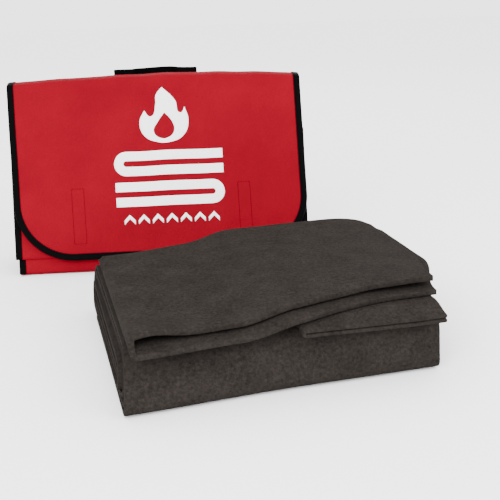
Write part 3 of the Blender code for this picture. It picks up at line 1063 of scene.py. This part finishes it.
def webbing():
    return made_once("ribbed_webbing", ribbed, tuple(bpy.context.scene.fire_bag.tape_colour),
                     0.0022, 0.0005, 0.55)


def wool():
    kit = bpy.context.scene.fire_wool
    return made_once("charcoal_wool", felted, tuple(kit.colour), kit.mottle)


def print_film():
    return made_once("white_print", printed, tuple(bpy.context.scene.fire_print.colour))


# ---------------------------------------------------------------- operators


class FIREKIT_OT_cover(bpy.types.Operator):
    """Sew the bag's top and its flap from one cloth, with the tape over its border"""

    bl_idname = "firekit.cover"
    bl_label = "Top and Flap"

    def execute(self, context):
        def place(across, run):
            half = cover_half_width(run)
            u = (across / FLAP_HALF - 1.0) * half
            return cover_point(u, run)

        def even_rows(across, along):
            plain = COVER_LENGTH - FLAP_CORNER
            reach = along / COVER_LENGTH
            if reach < PLAIN_ROWS:
                return place(across, plain * reach / PLAIN_ROWS)
            angle = (reach - PLAIN_ROWS) / (1.0 - PLAIN_ROWS) * math.pi / 2
            return place(across, plain + FLAP_CORNER * math.sin(angle))

        size = (2 * FLAP_HALF, COVER_LENGTH)
        cover = sheet_of("flap_and_top", size, even_rows, nylon(), CLOTH, columns=96, rows=96)
        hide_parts("flap_panel", "top_gusset")
        bend_over_hinge(cover)
        tape = tape_over("flap_tape", cover_edge_length(), cover_edge)
        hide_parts("flap_binding")
        bend_over_hinge(tape)
        cut = 4 * FLAP_HALF * COVER_LENGTH / 2 - (4 - math.pi) / 2 * FLAP_CORNER ** 2
        return {"FINISHED"}


class FIREKIT_OT_panels(bpy.types.Operator):
    """Sew the front, back, sides and base of the bag, with tape over their edges"""

    bl_idname = "firekit.panels"
    bl_label = "Bag Body"

    def execute(self, context):
        self.face_panels()
        self.sides_and_base()
        return {"FINISHED"}

    def tape(self, name, node, length, edge):
        tape = tape_over(name, length, edge)
        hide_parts(node)
        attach(tape, "bag")
        return tape

    def cloth(self, name, node, size, place, columns, rows):
        cloth = sheet_of(name, size, place, nylon(), CLOTH, columns, rows)
        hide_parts(node)
        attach(cloth, "bag")
        return cloth

    def face_panels(self):
        panel_length = MOUTH_ALONG - PANEL_START
        size = (2 * HALF_WIDTH, panel_length)
        front = self.cloth("front_cloth", "front_panel", size,
                           lambda a, s: front_point(a - HALF_WIDTH, PANEL_START + s),
                           columns=80, rows=40)
        length = MOUTH_ALONG - 2 * SEW_GAP - PANEL_START
        for side, label in SIDES:
            def front_edge(s, inset, height, side=side):
                return front_point(side * (HALF_WIDTH - inset), PANEL_START + s, height)
            self.tape("front_tape_" + label, "front_binding_" + label, length, front_edge)
        reach = GUSSET_X - CLOTH
        self.tape("mouth_tape", "mouth_binding", 2 * reach,
                               lambda s, i, h: front_point(s - reach, MOUTH_ALONG - i, h))

        size = (2 * HALF_WIDTH, BACK_TOP - BACK_LOW.z)
        back = self.cloth("back_cloth", "back_panel", size,
                          lambda a, s: back_point(a - HALF_WIDTH, BACK_LOW.z + s),
                          columns=80, rows=48)
        start = BASE_RISE + 2 * SEW_GAP
        length = BACK_TOP - start
        for side, label in SIDES:
            def back_edge(s, inset, height, side=side):
                return back_point(side * (HALF_WIDTH - inset), start + s, height)
            self.tape("back_tape_" + label, "back_binding_" + label, length, back_edge)

    def sides_and_base(self):
        floor = CLOTH + SEW_GAP + CLOTH / 2
        depth = BACK_Y - FRONT_Y - 4 * BEHIND
        size = (depth, ROOF_LOW.z - SEW_GAP - floor)
        for side, label in SIDES:
            def place(across, along, side=side):
                return gusset_point(side, across / depth, floor + along)
            side_cloth = self.cloth("side_cloth_" + label, "gusset_" + label, size, place,
                                    columns=24, rows=60)
            flat, area = cut_of(size, place)

        route = Route(base_path())
        size = (2 * BASE_HALF, route.length)

        def place_base(across, along):
            y, z = route.at_share(along / route.length)
            return Vector((across - BASE_HALF, y, z))

        base = self.cloth("base_cloth", "base_gusset", size, place_base, columns=80, rows=route.rows)
        foot = 2 * CLOTH + SEW_GAP
        length = PANEL_START - SEW_GAP - foot
        back_middle = BACK_Y - BEHIND - CLOTH / 2
        for side, label in SIDES:
            def front_edge(s, inset, height, side=side):
                return on_front(side * (BASE_HALF - inset), foot + s, height - BEHIND - CLOTH / 2)

            def back_edge(s, inset, height, side=side):
                return Vector((side * (BASE_HALF - inset), back_middle + height, foot + s))
            for end, edge in (("front", front_edge), ("back", back_edge)):
                name = "base_%s_tape_%s" % (end, label)
                self.tape(name, "base_%s_binding_%s" % (end, label), length, edge)


class FIREKIT_OT_strips(bpy.types.Operator):
    """Sew the hook and loop strips under the flap and on the front"""

    bl_idname = "firekit.strips"
    bl_label = "Fastening Strips"

    def execute(self, context):
        off = CLOTH / 2 + SEW_GAP + STRIP_THICKNESS / 2
        for side, label in SIDES:
            middle = side * STRIP_MIDDLE

            def loop_at(across, along):
                return front_point(middle + across - STRIP_WIDTH / 2, STRIP_START + along, off)

            def hook_at(across, along):
                return cover_point(middle + across - STRIP_WIDTH / 2, FACE_RUN - STRIP_START - along, -off)
            self.strip("loop_strip_" + label, "front_loop_" + label, "bag", loop_at)
            self.strip("hook_strip_" + label, "flap_hook_" + label, "flap", hook_at)
        return {"FINISHED"}

    def strip(self, name, node, body, place):
        size = (STRIP_WIDTH, STRIP_LENGTH)
        strip = sheet_of(name, size, place, pile_strip(), STRIP_THICKNESS,
                         columns=8, rows=26, edge=STRIP_RIM)
        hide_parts(node)
        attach(strip, body)


class FIREKIT_OT_stitching(bpy.types.Operator):
    """Stitch the flap's tape and the strips behind it"""

    bl_idname = "firekit.stitching"
    bl_label = "Stitching"

    def execute(self, context):
        on_tape = CLOTH / 2 + SEW_GAP + TAPE_THICKNESS + THREAD_OFF_TAPE

        def border(s):
            return cover_edge(max(0.0, s), TAPE_ROW, on_tape)

        def along_border(s):
            forward = (border(s + THREAD_STEP) - border(s - THREAD_STEP)).normalized()
            up = cover_edge(s, TAPE_ROW, on_tape) - cover_edge(s, TAPE_ROW, 0.0)
            return border(s), forward, square_to(forward, up)

        runs = [(cover_edge_length() - 0.002, along_border)]
        thread = stitches("flap_tape_stitching", runs, black_thread(), *TAPE_STITCH)
        bend_over_hinge(thread)

        half = STRIP_WIDTH / 2 - STRIP_MARGIN
        low = STRIP_START + STRIP_MARGIN
        high = STRIP_START + STRIP_LENGTH - STRIP_MARGIN
        for side, label in SIDES:
            left = side * STRIP_MIDDLE - half
            right = side * STRIP_MIDDLE + half
            corners = [(left, low), (right, low), (right, high), (left, high)]
            runs = []
            for (u0, a0), (u1, a1) in zip(corners, corners[1:] + corners[:1]):
                length = math.hypot(u1 - u0, a1 - a0)

                def run(s, u0=u0, a0=a0, u1=u1, a1=a1, length=length):
                    def spot(t, height=CLOTH / 2 + THREAD_OFF_CLOTH):
                        share = t / length
                        return on_flap(u0 + (u1 - u0) * share, a0 + (a1 - a0) * share, height)
                    forward = (spot(s + THREAD_STEP) - spot(s - THREAD_STEP)).normalized()
                    up = (spot(s, 0.002) - spot(s, 0.0)).normalized()
                    return spot(s), forward, square_to(forward, up)
                runs.append((length, run))
            box = stitches("strip_stitching_" + label, runs, red_thread(), *STRIP_STITCH)
            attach(box, "flap")
        return {"FINISHED"}


class FIREKIT_OT_symbols(bpy.types.Operator):
    """Press the flame, the folded cloth and the lifting arrows on the flap"""

    bl_idname = "firekit.symbols"
    bl_label = "Printed Symbols"

    def execute(self, context):
        flame = [soft_outline(FLAME, FLAME_TIPS, FLAME_SCALE), soft_outline(HEART, HEART_TIPS, FLAME_SCALE)]
        self.press("print_flame", flat_print(flame, PRINT_MIDDLE, FLAME_ALONG))
        for side, label in ((1, "upper"), (-1, "lower")):
            outline = hairpin_outline(*FOLD_SIZE, FOLD_SLIT, side)
            along = FOLDS_ALONG + side * (FOLD_SIZE[1] + FOLD_GAP) / 2
            self.press("print_fold_" + label, flat_print([outline], PRINT_MIDDLE + PRINT_OFFSET, along))
        for i in range(ARROWS):
            across = PRINT_MIDDLE + PRINT_OFFSET + (i - (ARROWS - 1) / 2) * ARROW_PITCH
            outline = chevron_outline(*ARROW_SIZE, ARROW_STROKE)
            self.press("print_arrow_%d" % (i + 1), flat_print([outline], across, CHEVRONS_ALONG))
        return {"FINISHED"}

    def press(self, name, work):
        cut_in_cells(work, PRINT_CELL)
        film = bpy.context.scene.fire_print.thickness
        for vert in work.verts:
            vert.co = on_flap(vert.co.x, vert.co.y, CLOTH / 2 + film / 2 + PRINT_OFF_CLOTH)
        bmesh.ops.recalc_face_normals(work, faces=work.faces)
        obj = link(name, work, print_film())
        body = obj.modifiers.new("Film", "SOLIDIFY")
        body.thickness = film
        body.offset = 0.0
        finish_mesh(obj)
        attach(obj, "flap")


class FIREKIT_OT_handle(bpy.types.Operator):
    """Sew the webbing handle behind the bag's top edge"""

    bl_idname = "firekit.handle"
    bl_label = "Handle"

    def execute(self, context):
        end_low, end_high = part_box("handle_end_right")
        grip_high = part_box("handle_grip")[1]
        reach = end_high.x
        free = grip_high.x
        thick = end_high.y - end_low.y
        width = end_high.z - end_low.z
        middle_y = (end_low.y + end_high.y) / 2
        bulge = grip_high.y - end_high.y

        def place(across, along, side):
            x = side * (reach - along)
            bent = (free - abs(x)) / HANDLE_BEND
            stand = bulge * (1 - math.cos(math.pi * max(0.0, min(1.0, bent)))) / 2
            curl = HANDLE_CURL * smooth(bent) * (1 - (2 * across / width - 1) ** 2)
            return Vector((x, middle_y + stand + curl, end_low.z + across + top_sag(x)))

        for side, label in SIDES:
            half = sheet_of("handle_webbing_" + label, (width, reach),
                            lambda a, s, side=side: place(a, s, side), webbing(), thick,
                            columns=14, rows=44, edge=HANDLE_RIM)
            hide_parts("handle_end_" + label, *(["handle_grip"] if side < 0 else []))
            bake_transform(half)

            # A box of stitches with a cross in it
            runs = []
            off = Vector((0.0, thick / 2 + THREAD_OFF_TAPE, 0.0))
            low = HANDLE_MARGIN
            high = width - HANDLE_MARGIN
            deep = reach - free - HANDLE_MARGIN
            corners = [(low, low), (high, low), (high, deep), (low, deep)]
            lines = list(zip(corners, corners[1:] + corners[:1]))
            lines += [(corners[0], corners[2]), (corners[1], corners[3])]
            for (a0, s0), (a1, s1) in lines:
                length = math.hypot(a1 - a0, s1 - s0)

                def run(t, a0=a0, s0=s0, a1=a1, s1=s1, length=length, side=side):
                    share = t / length
                    point = place(a0 + (a1 - a0) * share, s0 + (s1 - s0) * share, side)
                    forward = Vector((-side * (s1 - s0), 0.0, a1 - a0)).normalized()
                    return point + off, forward, Vector((0.0, 1.0, 0.0))
                runs.append((length, run))
            box = stitches("handle_stitching_" + label, runs, black_thread(), *HANDLE_STITCH)
            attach(box, "bag")
        return {"FINISHED"}


class FIREKIT_OT_blanket(bpy.types.Operator):
    """Fold the wool blanket: rolled lower part, short leaf, and the long leaf turned back over it"""

    bl_idname = "firekit.blanket"
    bl_label = "Blanket"

    def execute(self, context):
        self.roll()
        self.short_fold()
        self.leaves()
        return {"FINISHED"}

    def wool_sheet(self, name, node, size, place, thickness, columns, rows, rim, seam=None):
        sheet = sheet_of(name, size, place, wool(), thickness, columns, rows, rim, seam)
        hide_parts(node)
        return sheet

    def roll(self):
        route = roll_route()

        def place(across, along):
            y, z = route.at_share(along / route.length)
            near = 0.0035 + 0.0085 * z / ROLL_HIGH.z + 0.0025 * ripple(along, 0.0, 1.9, 3.3)
            far = 0.0030 * (ripple(along, 0.0, 1.7, 8.8) - 0.3)
            x = near + across / ROLL_WIDTH * (ROLL_WIDTH + far - near)
            return in_blanket(x, y, z)

        size = (ROLL_WIDTH, route.length)
        roll = self.wool_sheet("blanket_roll", "blanket_lower_roll", size, place,
                               DOUBLED_WOOL, WOOL_COLUMNS, route.rows, ROLL_RIM)
        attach(roll, "blanket")

    def short_fold(self):
        low = SHORT_LOW.z + SHORT_WOOL / 2
        high = SHORT_HIGH.z - SHORT_WOOL / 2
        depth = SHORT_HIGH.y - SHORT_LOW.y
        route = fold_route(SHORT_START, ROLL_WIDTH - 0.002, low, high, SHORT_WOOL, lambda x: 0.0)

        def place(across, along):
            x, z = route.at_share(along / route.length)
            y = -SHORT_OVERHANG + across / depth * (depth + SHORT_OVERHANG)
            droop = 0.0080 * (1.0 - smooth((y + SHORT_OVERHANG) / 0.034))
            return in_blanket(x, y, z - droop)

        size = (depth, route.length)
        short = self.wool_sheet("blanket_short_fold", "blanket_short_leaf", size, place,
                                SHORT_WOOL, SHORT_COLUMNS, route.rows, SHORT_RIM)
        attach(short, "blanket")
        flat, area = cut_of(size, place)

    def leaves(self):
        low = LONG_LOW.z + LEAF_WOOL / 2 + 0.0004
        high = FOLD_TOP - LEAF_WOOL / 2
        right = ROLL_WIDTH + LEAF_OVERREACH
        middle = (low + high) / 2

        def leaf_point(across, x, z):
            upper = smooth((z - climb(x) - low) / (high - low))
            front = long_front(x) * (1 - upper) + top_front(x) * upper
            back = LEAF_BACK_EDGE - left_back(x) * upper
            back = min(back, far_corner(x, right, back))
            reach = across / LEAF_BACK_EDGE
            y = front + reach * (back - front)
            # The near right corner stands up, and the front gapes a little beside the spine
            near_right = smooth((x - 0.27) / 0.13) * (1.0 - smooth((reach - 0.05) / 0.3))
            open_front = math.exp(-((x - 0.045) / 0.035) ** 2) * (1.0 - smooth(reach / 0.22))
            sag = (1.0 - upper) * 0.0040 * (1.0 - smooth((y + 0.026) / 0.030))
            lift = upper * (0.0050 * near_right + 0.0085 * open_front) - sag
            # The right end is drawn out, most at the back
            pulled = (0.038 - 0.018 * upper) * smooth((x - 0.28) / 0.14) * smooth(reach / 0.45)
            return in_blanket(x + pulled, y, z + lift)

        def in_seam(point):
            return abs((BLANKET_TURN.transposed() @ point).x - ROLL_LOW.x - LEAF_SEAM) < AT_SEAM

        def above_seam(point):
            return point.x < LEAF_SEAM or point.y > middle + climb(point.x)

        lower = [right + (LEAF_SEAM - right) * i / LOWER_LEAF_ROWS for i in range(LOWER_LEAF_ROWS + 1)]
        lower = Route([(x, low + climb(x)) for x in lower])
        hairpin = fold_route(LEAF_START, right, low, high, LEAF_WOOL, climb)
        upper = Route([(LEAF_SEAM, low)] + [tuple(p) for p in hairpin.points if above_seam(p)])
        made = []
        for name, node, route in (("blanket_lower_leaf", "blanket_long_leaf", lower),
                                  ("blanket_upper_leaf", "blanket_top_leaf", upper)):
            size = (LEAF_BACK_EDGE, route.length)

            def at(across, along, route=route):
                return leaf_point(across, *route.at_share(along / route.length))
            leaf = self.wool_sheet(name, node, size, at,
                                   LEAF_WOOL, WOOL_COLUMNS, route.rows, LEAF_RIM, in_seam)
            made.append((leaf, size, at))
        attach(made[0][0], "blanket")
        spine = ROLL_LOW.x + LEAF_START
        seam = BLANKET_TURN @ Vector((spine, 0.0, middle - OPENING_HALF))
        gone = BLANKET_TURN @ Vector((spine, 0.0, middle + OPENING_HALF))
        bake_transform(made[1][0])
        for (leaf, size, at), below in zip(made, ("blanket_short_fold", "blanket_lower_leaf")):
            flat, area = cut_of(size, at)


class FIREKIT_OT_stage(bpy.types.Operator):
    """Set the pale floor, the soft lights and the camera"""

    bl_idname = "firekit.stage"
    bl_label = "Stage"

    def execute(self, context):
        stage = context.scene.fire_stage
        work = bmesh.new()
        bmesh.ops.create_grid(work, x_segments=2, y_segments=2, size=FLOOR_HALF)
        bmesh.ops.translate(work, verts=work.verts, vec=(0.0, 0.0, FLOOR_HEIGHT))
        floor = link("studio_floor", work, floor_finish("floor_paint", tuple(stage.floor_colour)))

        world = context.scene.world or bpy.data.worlds.new("studio")
        context.scene.world = world
        world.use_nodes = True
        background = world.node_tree.nodes["Background"]
        background.inputs["Color"].default_value = (1.0, 1.0, 1.0, 1.0)
        background.inputs["Strength"].default_value = SKY_STRENGTH
        for name, looks in LAMPS.items():
            self.lamp(name, *looks)

        data = bpy.data.cameras.new("camera")
        data.lens = stage.lens
        data.sensor_width = 36.0
        camera = bpy.data.objects.new("camera", data)
        context.scene.collection.objects.link(camera)
        turn = Matrix.Rotation(-stage.camera_yaw, 4, "Z")
        turn = turn @ Matrix.Rotation(math.pi / 2 - stage.camera_pitch, 4, "X")
        turn = turn @ Matrix.Rotation(-stage.camera_roll, 4, "Z")
        camera.matrix_world = Matrix.Translation(Vector(stage.camera_place)) @ turn
        context.scene.camera = camera
        return {"FINISHED"}

    def lamp(self, name, place, aim, size, power):
        data = bpy.data.lights.new(name, "AREA")
        data.shape = "DISK"
        data.size = size
        data.energy = power
        lamp = bpy.data.objects.new(name, data)
        bpy.context.scene.collection.objects.link(lamp)
        lamp.location = place
        lamp.rotation_euler = (Vector(aim) - Vector(place)).to_track_quat("-Z", "Y").to_euler()


class FIREKIT_PT_panel(bpy.types.Panel):
    bl_label = "Fire Blanket Kit"
    bl_idname = "FIREKIT_PT_panel"
    bl_space_type = "VIEW_3D"
    bl_region_type = "UI"
    bl_category = "Fire Kit"

    def draw(self, context):
        for name, group in SETTINGS.items():
            box = self.layout.box()
            settings = getattr(context.scene, name)
            for prop in group.__annotations__:
                box.prop(settings, prop)
        for operator in STEPS:
            self.layout.operator(operator.bl_idname)


STEPS = [
    FIREKIT_OT_panels,
    FIREKIT_OT_strips,
    FIREKIT_OT_cover,
    FIREKIT_OT_stitching,
    FIREKIT_OT_symbols,
    FIREKIT_OT_handle,
    FIREKIT_OT_blanket,
    FIREKIT_OT_stage,
]


def register():
    for group in SETTINGS.values():
        bpy.utils.register_class(group)
    for operator in STEPS:
        bpy.utils.register_class(operator)
    bpy.utils.register_class(FIREKIT_PT_panel)
    for name, group in SETTINGS.items():
        setattr(bpy.types.Scene, name, bpy.props.PointerProperty(type=group))


def unregister():
    for name in SETTINGS:
        delattr(bpy.types.Scene, name)
    bpy.utils.unregister_class(FIREKIT_PT_panel)
    for operator in reversed(STEPS):
        bpy.utils.unregister_class(operator)
    for group in SETTINGS.values():
        bpy.utils.unregister_class(group)


def main():
    register()
    for operator in STEPS:
        group, name = operator.bl_idname.split(".")
        getattr(getattr(bpy.ops, group), name)()


if __name__ == "__main__":
    main()
